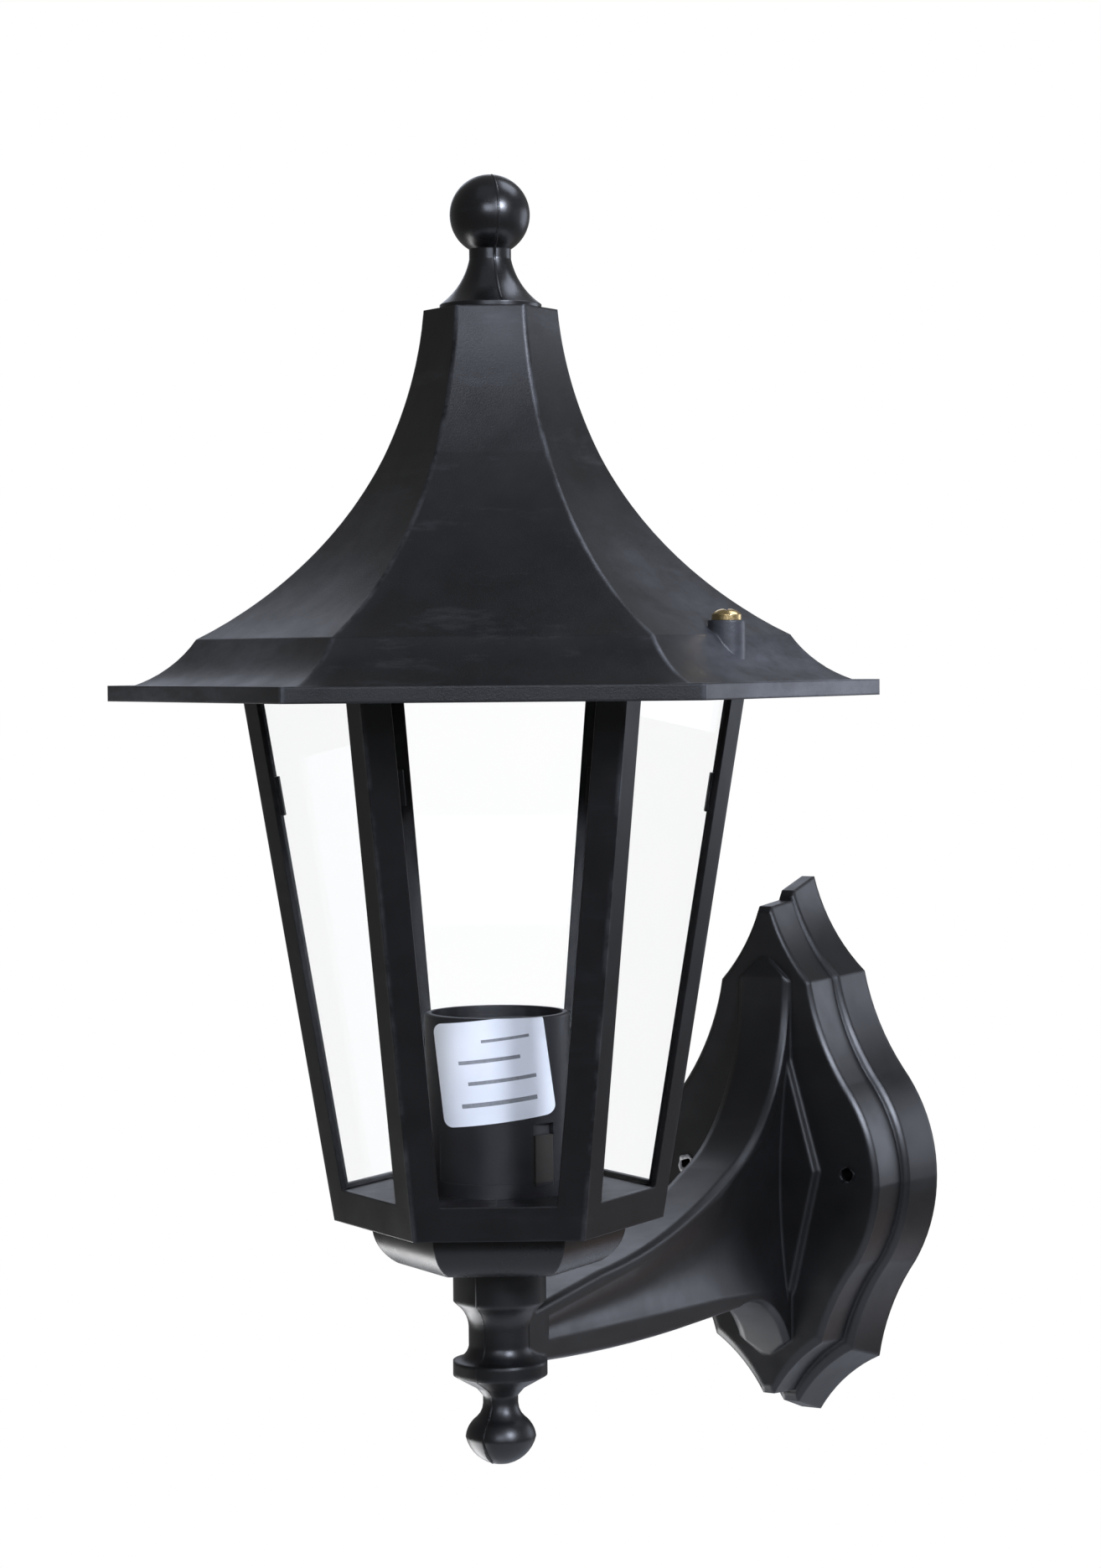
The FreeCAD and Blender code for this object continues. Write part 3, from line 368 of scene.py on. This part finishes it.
def sticker():
    """Silvery film."""
    paint = Paint("sticker")
    cloud = paint.noise(scale=80.0, detail=3.0)
    fibre = paint.noise(scale=1800.0, detail=2.0, roughness=0.5, stretch=(1.0, 1.0, 0.15))
    return paint.surface(
        Base_Color=paint.ramp(cloud, (0.74, 0.76, 0.79), (0.82, 0.84, 0.87)),
        Roughness=paint.span(fibre, 0.34, 0.46),
        Metallic=0.15,
        Normal=paint.bump(fibre, 0.04, 0.05 * MM),
    )


def matt_grain(name, dark, light, smooth=0.5, rough=0.65, scale=1400.0, detail=3.0):
    """Dull surface with a fine grain."""
    paint = Paint(name)
    grain = paint.noise(scale=scale, detail=detail)
    return paint.surface(
        Base_Color=paint.ramp(grain, dark, light),
        Roughness=paint.span(grain, smooth, rough),
    )


FINISHES = {
    "bracket": black_plastic("bracket_plastic", rough=0.36, grain=0.05, scuffs=0.05, edge=1.5 * MM),
    "base_cup": black_plastic(
        "cup_plastic", rough=0.28, grain=0.06, scuffs=0.06, edge=0.8 * MM, shine=0.4),
    "lantern_frame": black_plastic(
        "frame_plastic", rough=0.35, grain=0.10, scuffs=0.08, edge=0.5 * MM, worn_ridges=0.35, shine=0.34),
    # The roof's dust setting also paints sheen on its lower sides.
    "roof": black_plastic(
        "roof_plastic", rough=0.38, grain=0.42, scuffs=0.30, edge=0.9 * MM, worn_ridges=0.5, dust_and_sheen=0.6),
    "finial": black_plastic(
        "finial_plastic", rough=0.28, grain=0.10, scuffs=0.10, edge=0.6 * MM, shine=0.65),
    "finial_screw": metal("zinc_steel", (0.50, 0.50, 0.51), (0.66, 0.66, 0.67), 0.26, 0.40),
    "roof_screws": metal("screw_brass", (0.60, 0.43, 0.19), (0.80, 0.62, 0.32), 0.20, 0.34),
    "lampholder_base": holder_plastic("cap_plastic", HOLDER_DARK, HOLDER_LIGHT, 0.36, TAB_COLOUR),
    "lampholder_skirt": holder_plastic("holder_plastic", HOLDER_DARK, HOLDER_LIGHT, 0.40),
    "lampholder_insert": holder_plastic("insert_plastic", (0.02, 0.02, 0.021), (0.03, 0.03, 0.031), 0.5),
    "screw_shell": metal("shell_aluminium", (0.62, 0.62, 0.63), (0.78, 0.78, 0.79), 0.18, 0.32),
    "centre_contact": metal("contact_brass", (0.62, 0.45, 0.2), (0.78, 0.6, 0.3), 0.2, 0.34),
    "rating_label": sticker(),
    "nipple": metal("nipple_steel", (0.46, 0.46, 0.47), (0.62, 0.62, 0.63), 0.28, 0.42),
    "nipple_nut": metal("nut_steel", (0.48, 0.48, 0.47), (0.64, 0.64, 0.63), 0.26, 0.4),
    "terminal_block": holder_plastic("terminal_plastic", (0.62, 0.61, 0.57), (0.72, 0.71, 0.67), 0.36),
    "terminal_sleeves": metal("sleeve_brass", (0.62, 0.45, 0.2), (0.76, 0.58, 0.29), 0.22, 0.36),
    "terminal_screws": metal("terminal_steel", (0.5, 0.5, 0.51), (0.64, 0.64, 0.65), 0.26, 0.4),
}
PANE_FINISH = clear_pane()
FLASH_FINISH = matt_grain("moulding_flash", (0.26, 0.26, 0.25), (0.52, 0.52, 0.51))
INK_FINISH = matt_grain("grey_print", (0.16, 0.165, 0.175), (0.24, 0.245, 0.255))


def dress(node_name, finish):
    mesh = nodes[node_name].data
    mesh.materials.clear()
    mesh.materials.append(finish)


def dress_nodes():
    """Gives every node its finish; panes, which have no row of their own, let lamp light through."""
    for node_name in nodes:
        dress(node_name, FINISHES.get(node_name, PANE_FINISH))
        if node_name.startswith("pane_"):
            nodes[node_name].visible_shadow = False


# Small detail pieces


def add_piece(name, corners, faces, finish):
    """A smooth mesh that moves with the object."""
    mesh = bpy.data.meshes.new(name)
    mesh.from_pydata(corners, [], faces)
    for face in mesh.polygons:
        face.use_smooth = True
    mesh.materials.append(finish)
    piece = bpy.data.objects.new(name, mesh)
    scene.collection.objects.link(piece)
    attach(piece, "root")


def strip_faces(rows, width, first=0):
    """Quads between rows of width corners each, where first is the number of the first corner."""
    faces = []
    for row in range(rows - 1):
        for k in range(width - 1):
            near = first + row * width + k
            far = near + width
            faces.append((near, near + 1, far + 1, far))
    return faces


def arc(start, end, radius, side, count):
    """Places from start to end on an arc whose centre lies on one side of the way."""
    first = Vector(start)
    chord = Vector(end) - first
    left = Vector((-chord.y, chord.x)).normalized()
    rise = math.sqrt(radius ** 2 - (chord.length / 2) ** 2)
    centre = first + chord / 2 + left * (side * rise)
    spoke = first - centre
    swing = 2 * math.asin(chord.length / 2 / radius) * side
    places = []
    for k in range(count):
        turned = Matrix.Rotation(swing * k / (count - 1), 2) @ spoke
        places.append(tuple(centre + turned))
    return places


def oval(radius, rise, middle, start, end, count):
    """Places on an upright oval about the lantern axis, from one angle to another in degrees."""
    places = []
    for k in range(count):
        turn = math.radians(start + (end - start) * k / (count - 1))
        places.append((radius * math.cos(turn), middle + rise * math.sin(turn)))
    return places


def turned_place(radius, turn, height):
    """A place at a radius and angle about the lantern axis, from millimetres."""
    angle = math.radians(turn)
    return (radius * math.cos(angle) * MM, AXIS_Y + radius * math.sin(angle) * MM, height * MM)


# A meridian of a turned form with its angle about the axis, and the width and height of its ridge
Line = namedtuple("Line", "profile turn width height")


def outward(profile, k):
    """Direction square to a profile at its place k."""
    before = Vector(profile[max(k - 1, 0)])
    after = Vector(profile[min(k + 1, len(profile) - 1)])
    way = (after - before).normalized()
    return Vector((way.y, -way.x))


def seam(name, line, finish):
    """A fine parting line that stands proud along one meridian of a turned form."""
    sunk = 0.08
    crest_share = 0.25
    corners = []
    for k, (radius, height) in enumerate(line.profile):
        out = outward(line.profile, k)
        root = Vector((radius, height)) - out * sunk
        crest = Vector((radius, height)) + out * line.height
        spread = math.degrees(line.width / 2 / radius)
        corners.append(turned_place(root.x, line.turn - spread, root.y))
        corners.append(turned_place(crest.x, line.turn - spread * crest_share, crest.y))
        corners.append(turned_place(crest.x, line.turn + spread * crest_share, crest.y))
        corners.append(turned_place(root.x, line.turn + spread, root.y))
    add_piece(name, corners, strip_faces(len(line.profile), 4), finish)


def finial_profile():
    """Meridian of the finial from its flare up to near the top of the ball."""
    flare_start = (FLARE_RADIUS, FINIAL_FOOT + FLARE_RISE)
    flare_end = (NECK_RADIUS, FINIAL_FOOT + NECK_RISE)
    flare = arc(flare_start, flare_end, FLARE_CURVE, RIGHT, count=12)
    ball = oval(BALL_RADIUS, BALL_RADIUS, BALL_MIDDLE, start=-56.0, end=74.0, count=20)
    return flare + ball


def stem_profile():
    """Meridian of the stem from the knob up to the collar."""
    knob = oval(KNOB_RADIUS, KNOB_DROP, KNOB_MIDDLE, start=-62.0, end=-4.0, count=9)
    shoulder = arc((KNOB_RADIUS, KNOB_MIDDLE), (SHOULDER_RADIUS, -47.0), 7.5, LEFT, count=7)
    throat = [(THROAT_RADIUS, -43.2), (THROAT_RADIUS, -40.8), (SHOULDER_RADIUS, -38.6)]
    disc = [(12.9, -35.2), (DISC_RADIUS, -34.6), (DISC_RADIUS, -31.4)]
    cove = arc((13.0, -31.0), (STEM_NECK_RADIUS, -27.0), 5.0, RIGHT, count=7)
    neck = [(STEM_NECK_RADIUS, -24.0), (STEM_NECK_RADIUS, -21.9)]
    upper_cove = arc((STEM_NECK_RADIUS, -21.6), (12.0, -15.3), 8.0, RIGHT, count=7)
    collar = [(COLLAR_RADIUS, -14.4), (COLLAR_RADIUS, -4.0)]
    return knob + shoulder + throat + disc + cove + neck + upper_cove + collar


def sleeve_profile():
    """Upright line on the lampholder's sleeve from near its foot to the sticker."""
    start = SLEEVE_FOOT + 0.3
    step = 2.4
    return [(SLEEVE_RADIUS, start + step * k) for k in range(7)]


def make_seams():
    """Parting lines on both sides of the finial, on the stem and on the lampholder's sleeve."""
    for side, turn in (("near", FINIAL_SEAM), ("far", FINIAL_SEAM + 180.0)):
        finial_line = Line(finial_profile(), turn, width=0.9, height=0.22)
        seam("finial_seam_" + side, finial_line, FINISHES["finial"])
    stem_line = Line(stem_profile(), STEM_SEAM, width=0.7, height=0.14)
    seam("stem_seam", stem_line, FINISHES["bracket"])
    sleeve_line = Line(sleeve_profile(), SLEEVE_SEAM, width=0.8, height=0.2)
    seam("sleeve_seam", sleeve_line, FINISHES["lampholder_skirt"])


def burr_thickness(turn, slant, thick):
    """Uneven thickness of a burr on its way round the hole."""
    ragged = 0.5 + 0.32 * math.sin(3 * turn + slant) + 0.18 * math.sin(7 * turn + 2 * slant)
    return thick * (0.35 + 0.65 * ragged)


def flash_ring(name, middle, slant, thick, finish):
    """A ragged burr round a wall-screw hole, with its middle and thickness in millimetres."""
    count = 44
    sides = 6
    corners = []
    for k in range(count + 1):
        turn = math.tau * (k % count) / count
        tube = burr_thickness(turn, slant, thick)
        ring = HOLE_RADIUS + BURR_SPREAD + 0.12 * math.sin(5 * turn + slant)
        for j in range(sides):
            swing = math.tau * j / (sides - 1)
            reach = ring + tube * math.cos(swing)
            depth = tube * 0.9 * math.sin(swing) + 0.1
            across = middle + reach * math.cos(turn)
            corners.append((across * MM, (PLATE_FRONT - depth) * MM, reach * math.sin(turn) * MM))
    add_piece(name, corners, strip_faces(count + 1, sides), finish)


def make_burrs():
    """Burrs round both wall-screw holes, of which the left one is thick and pale."""
    flash_ring("flash_right", HOLE_X, slant=0.6, thick=0.42, finish=FINISHES["bracket"])
    flash_ring("flash_left", -HOLE_X, slant=2.1, thick=1.0, finish=FLASH_FINISH)


# Left, bottom, right and top of each bar in the sticker's own plane, in millimetres
LABEL_BARS = (
    (-9.5, -9.2, 11.0, -8.0),
    (-7.0, -3.2, 11.5, -2.2),
    (-9.0, 2.6, 8.0, 3.6),
    (-2.0, 8.0, 11.0, 8.8),
)
BAR_ROWS = 11


def label_bar(left, bottom, right, top_edge):
    """Corners of one bar, wrapped round the sleeve in rows of three."""
    tilt = math.radians(LABEL_TILT)
    corners = []
    for k in range(BAR_ROWS):
        across = left + (right - left) * k / (BAR_ROWS - 1)
        for up in (bottom, (bottom + top_edge) / 2, top_edge):
            x = across * math.cos(tilt) - up * math.sin(tilt)
            z = across * math.sin(tilt) + up * math.cos(tilt)
            turn = LABEL_ANGLE + math.degrees(math.asin(x / LABEL_RADIUS))
            corners.append(turned_place(LABEL_RADIUS, turn, LABEL_MIDDLE + z))
    return corners


def make_label_bars():
    """Plain grey bars across the sticker."""
    corners = []
    faces = []
    for bar in LABEL_BARS:
        faces += strip_faces(BAR_ROWS, 3, len(corners))
        corners += label_bar(*bar)
    add_piece("label_bars", corners, faces, INK_FINISH)


# Stage, lamps and camera


def make_floor():
    """A round pale floor under the object, below the photo's frame."""
    radius = 0.72
    middle_y = -0.1
    height = -0.40
    count = 96
    rim = []
    for k in range(count):
        turn = math.tau * k / count
        rim.append((radius * math.cos(turn), middle_y + radius * math.sin(turn), height))
    mesh = bpy.data.meshes.new("floor")
    mesh.from_pydata(rim, [], [list(range(count))])
    paper = matt_grain(
        "floor_paper", FLOOR_DARK, FLOOR_LIGHT, smooth=0.8, rough=0.9, scale=120.0, detail=4.0)
    mesh.materials.append(paper)
    floor = bpy.data.objects.new("floor", mesh)
    scene.collection.objects.link(floor)


def room_light(wires):
    """Strength of the surroundings, greatest behind the object and a little less high up."""
    place = wires.add("ShaderNodeTexCoord").outputs["Generated"]
    _, depth, height = wires.parts(place)
    behind = wires.span(depth, 0.09, 0.14, start=-0.35, end=0.6, shape="SMOOTHSTEP")
    above = wires.span(height, 1.0, 0.9, start=0.1, end=0.9, shape="SMOOTHSTEP")
    return wires.maths("MULTIPLY", behind, above)


def white_share(wires):
    """How much white a ray sees: all for the camera, also through panes, and a little in gloss."""
    path = wires.add("ShaderNodeLightPath").outputs
    gloss = wires.maths("MULTIPLY", path["Is Glossy Ray"], GLOSS_SHARE)
    bounces = wires.maths("ADD", path["Glossy Depth"], path["Diffuse Depth"])
    straight = wires.maths("LESS_THAN", bounces, 0.5)
    through = wires.maths("MULTIPLY", path["Is Transmission Ray"], straight)
    clear = wires.maths("MAXIMUM", path["Is Camera Ray"], through)
    return wires.maths("MAXIMUM", clear, gloss)


def make_world():
    """Soft grey surroundings that light the object, in front of a white background."""
    world = bpy.data.worlds.new("studio")
    world.use_nodes = True
    wires = Wiring(world.node_tree)
    grey = wires.tree.nodes["Background"]
    wires.fill(grey, Color=opaque(ROOM_COLOUR), Strength=room_light(wires))
    white = wires.add("ShaderNodeBackground")
    wires.fill(white, Color=opaque(WHITE), Strength=1.0)
    mix = wires.add("ShaderNodeMixShader")
    wires.join(white_share(wires), mix.inputs["Fac"])
    wires.join(grey.outputs["Background"], mix.inputs[1])
    wires.join(white.outputs["Background"], mix.inputs[2])
    wires.join(mix.outputs["Shader"], wires.tree.nodes["World Output"].inputs["Surface"])
    scene.world = world


def softbox(name, place, target, width, height, power, colour=DAYLIGHT):
    """A rectangular lamp that faces its target, in metres and watts."""
    lamp = bpy.data.lights.new(name, "AREA")
    lamp.shape = "RECTANGLE"
    lamp.size = width
    lamp.size_y = height
    lamp.energy = power
    lamp.color = colour
    holder = bpy.data.objects.new(name, lamp)
    scene.collection.objects.link(holder)
    holder.location = place
    aim = Vector(target) - Vector(place)
    holder.rotation_euler = aim.to_track_quat("-Z", "Y").to_euler()


def make_lamps():
    """Windows in front and above, softer light from behind, and a card and a warm glow from below."""
    lantern = (0.0, AXIS_Y * 0.8, 0.09)
    arm = (0.0, -0.05, 0.03)
    plate = (0.03, 0.0, 0.0)
    stem = (0.02, AXIS_Y, 0.0)
    over_card = (-0.42, -0.20, 0.5)
    softbox("window_right", (1.66, -0.95, 0.97), lantern, width=0.45, height=0.45, power=42.0)
    softbox("window_front", (1.12, -2.20, 0.88), lantern, width=1.2, height=0.6, power=17.0)
    softbox("window_top", (0.10, -0.90, 1.60), lantern, width=1.1, height=1.1, power=1.0)
    softbox("top_right", (0.42, 0.38, 1.25), lantern, width=0.6, height=0.6, power=4.0)
    softbox("low_card", (-0.42, -0.20, -0.34), over_card, width=0.45, height=0.5, power=4.2, colour=WHITE)
    softbox("back_left", (-0.9, 1.1, 0.8), lantern, width=0.9, height=0.9, power=2.6)
    softbox("back_middle", (0.90, 1.21, 0.24), arm, width=0.9, height=0.7, power=4.4)
    softbox("back_right", (1.4, 0.40, 0.25), plate, width=0.5, height=0.7, power=0.35)
    softbox("warm_low", (0.28, 0.50, -0.33), stem, width=0.25, height=0.25, power=0.03, colour=WARM_LIGHT)


def camera_axes():
    """The camera's right, up and back directions as a matrix."""
    turn = math.radians(CAMERA_AZIMUTH)
    tilt = math.radians(CAMERA_TILT)
    roll = math.radians(CAMERA_ROLL)
    back = Vector((math.sin(turn) * math.cos(tilt), -math.cos(turn) * math.cos(tilt), math.sin(tilt)))
    level = Vector((math.cos(turn), math.sin(turn), 0.0))
    upright = back.cross(level)
    right = level * math.cos(roll) + upright * math.sin(roll)
    up = upright * math.cos(roll) - level * math.sin(roll)
    return Matrix((right, up, back)).transposed().to_4x4()


def make_camera():
    """The photo's camera, whose sensor width lies along the photo's height."""
    lens = bpy.data.cameras.new("photo_camera")
    lens.sensor_width = SENSOR
    lens.lens = PHOTO_FOCAL / PHOTO_HEIGHT * SENSOR
    lens.clip_start = 0.05
    camera = bpy.data.objects.new("photo_camera", lens)
    scene.collection.objects.link(camera)
    camera.matrix_world = Matrix.Translation(CAMERA_PLACE) @ camera_axes()
    scene.camera = camera


dress_nodes()
make_seams()
make_burrs()
make_label_bars()
make_floor()
make_world()
make_lamps()
make_camera()
scene.view_settings.view_transform = "Standard"
